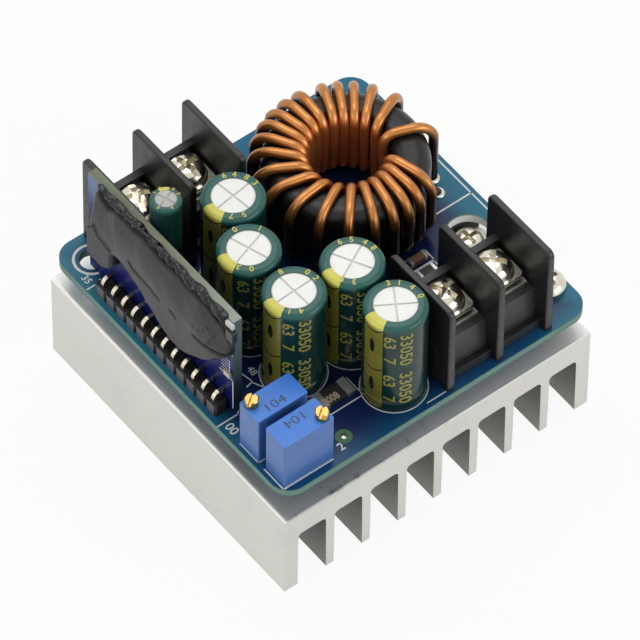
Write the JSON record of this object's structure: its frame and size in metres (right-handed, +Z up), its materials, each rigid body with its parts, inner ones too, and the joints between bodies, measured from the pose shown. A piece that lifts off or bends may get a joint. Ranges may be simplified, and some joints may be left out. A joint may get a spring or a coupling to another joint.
{
  "type": "buck converter module",
  "caption": "Step-down converter on a finned heatsink: toroidal choke, can capacitors, barrier terminals, trimmers and an upright potted control board.",
  "frame": {"origin": "centre of the rectangle of fin tips, on the surface the module stands on", "axes": "+Z up from the fin tips to the board; +X along the finned face, from the control board to the terminal side; +Y along the fins, away from the trimmers"},
  "size_m": [0.06, 0.0596, 0.0509],
  "materials": {
    "bare_aluminium": "extruded, sawn ends, light scratches",
    "brass": "turned",
    "bush_nylon": "moulded",
    "can_aluminium": "drawn",
    "chip_body": "dark body, tinned ends",
    "chip_brown": "brown body, tinned ends",
    "copper_enamel": "enamelled copper wire",
    "core_coat": "pressed iron powder under satin black coat",
    "element_white": "fired plate",
    "epoxy_black": "moulded",
    "header_black": "moulded",
    "nickel": "nickel plated steel",
    "pin_gold": "flash gold",
    "potting_black": "poured, semi-gloss",
    "seal_rubber": "moulded",
    "silicone_grey": "soft sheet",
    "sleeve_green": "shrunk sleeve with yellow print",
    "solder": "solder",
    "solder_mask": "blue solder mask over glass laminate",
    "spring_steel": "plated",
    "terminal_black": "moulded",
    "tinned_metal": "tinned",
    "trimmer_blue": "moulded",
    "wheel_white": "moulded"
  },
  "bodies": {
    "module": {"amplifier_chip": "epoxy_black", "board_screws": "nickel", "capacitor_1_can": "can_aluminium", "capacitor_1_sleeve": "sleeve_green", "capacitor_2_can": "can_aluminium", "capacitor_2_sleeve": "sleeve_green", "capacitor_3_can": "can_aluminium", "capacitor_3_sleeve": "sleeve_green", "capacitor_4_can": "can_aluminium", "capacitor_4_sleeve": "sleeve_green", "capacitor_5_can": "can_aluminium", "capacitor_5_sleeve": "sleeve_green", "capacitor_leads": "tinned_metal", "capacitor_seals": "seal_rubber", "ceramic_capacitor": "chip_brown", "chip_resistor": "chip_body", "choke_core": "core_coat", "choke_winding": "copper_enamel", "control_board": "solder_mask", "controller_chip": "epoxy_black", "diode_case": "epoxy_black", "diode_leadframe": "tinned_metal", "header_body": "header_black", "header_pins": "pin_gold", "header_solder": "solder", "heatsink": "bare_aluminium", "insulating_bushes": "bush_nylon", "insulating_pads": "silicone_grey", "main_board": "solder_mask", "potting": "potting_black", "shunt_resistor": "chip_body", "small_capacitor_can": "can_aluminium", "small_capacitor_sleeve": "sleeve_green", "spacer": "brass", "spring_washers": "spring_steel", "terminal_contacts": "tinned_metal", "terminal_housing_left": "terminal_black", "terminal_housing_right": "terminal_black", "transistor_case": "epoxy_black", "transistor_leadframe": "tinned_metal", "trimmer_1_body": "trimmer_blue", "trimmer_2_body": "trimmer_blue", "trimmer_elements": "element_white", "trimmer_pins": "tinned_metal"},
    "clamp_1": {"clamp_plate_1": "nickel"},
    "clamp_screw_1": {"terminal_screw_1": "nickel"},
    "clamp_2": {"clamp_plate_2": "nickel"},
    "clamp_screw_2": {"terminal_screw_2": "nickel"},
    "clamp_3": {"clamp_plate_3": "nickel"},
    "clamp_screw_3": {"terminal_screw_3": "nickel"},
    "clamp_4": {"clamp_plate_4": "nickel"},
    "clamp_screw_4": {"terminal_screw_4": "nickel"},
    "trim_screw_1": {"trimmer_1_screw": "brass"},
    "trim_wheel_1": {"trimmer_1_wheel": "wheel_white", "trimmer_1_wiper": "brass"},
    "trim_screw_2": {"trimmer_2_screw": "brass"},
    "trim_wheel_2": {"trimmer_2_wheel": "wheel_white", "trimmer_2_wiper": "brass"}
  },
  "joints": [
    {"name": "clamp_1_slide", "type": "slide", "parent": "module", "child": "clamp_1", "axis": [0, 0, 1], "range_m": [-0.00064, 0.00179]},
    {"name": "clamp_1_screw_turn", "type": "hinge", "parent": "clamp_1", "child": "clamp_screw_1", "pos_m": [0.00745, -0.02085, 0.0349], "axis": [0, 0, 1], "range_deg": [-334, 925]},
    {"name": "clamp_2_slide", "type": "slide", "parent": "module", "child": "clamp_2", "axis": [0, 0, 1], "range_m": [-0.00064, 0.00179]},
    {"name": "clamp_2_screw_turn", "type": "hinge", "parent": "clamp_2", "child": "clamp_screw_2", "pos_m": [0.01705, -0.02085, 0.0349], "axis": [0, 0, 1], "range_deg": [-334, 925]},
    {"name": "clamp_3_slide", "type": "slide", "parent": "module", "child": "clamp_3", "axis": [0, 0, 1], "range_m": [-0.00064, 0.00179]},
    {"name": "clamp_3_screw_turn", "type": "hinge", "parent": "clamp_3", "child": "clamp_screw_3", "pos_m": [-0.01835, 0.02265, 0.0349], "axis": [0, 0, 1], "range_deg": [-334, 925]},
    {"name": "clamp_4_slide", "type": "slide", "parent": "module", "child": "clamp_4", "axis": [0, 0, 1], "range_m": [-0.00064, 0.00179]},
    {"name": "clamp_4_screw_turn", "type": "hinge", "parent": "clamp_4", "child": "clamp_screw_4", "pos_m": [-0.00875, 0.02265, 0.0349], "axis": [0, 0, 1], "range_deg": [-334, 925]},
    {"name": "trimmer_1_screw_turn", "type": "hinge", "parent": "module", "child": "trim_screw_1", "pos_m": [-0.02075, -0.0269, 0.0345], "axis": [0, 0, 1], "range_deg": [-4500, 4500]},
    {"name": "trimmer_1_wheel_turn", "type": "hinge", "parent": "module", "child": "trim_wheel_1", "pos_m": [-0.0245, -0.0269, 0.029], "axis": [0, 1, 0], "range_deg": [-136.6, 136.6]},
    {"name": "trimmer_2_screw_turn", "type": "hinge", "parent": "module", "child": "trim_screw_2", "pos_m": [-0.02775, -0.01855, 0.0345], "axis": [0, 0, 1], "range_deg": [-4500, 4500]},
    {"name": "trimmer_2_wheel_turn", "type": "hinge", "parent": "module", "child": "trim_wheel_2", "pos_m": [-0.024, -0.01855, 0.029], "axis": [0, -1, 0], "range_deg": [-136.6, 136.6]}
  ],
  "couplings": [
    {"joint": "clamp_1_screw_turn", "follows": "clamp_1_slide", "rad_per_m": 8976},
    {"joint": "clamp_2_screw_turn", "follows": "clamp_2_slide", "rad_per_m": 8976},
    {"joint": "clamp_3_screw_turn", "follows": "clamp_3_slide", "rad_per_m": 8976},
    {"joint": "clamp_4_screw_turn", "follows": "clamp_4_slide", "rad_per_m": 8976},
    {"joint": "trimmer_1_wheel_turn", "follows": "trimmer_1_screw_turn", "ratio": 0.030303},
    {"joint": "trimmer_2_wheel_turn", "follows": "trimmer_2_screw_turn", "ratio": 0.030303}
  ]
}
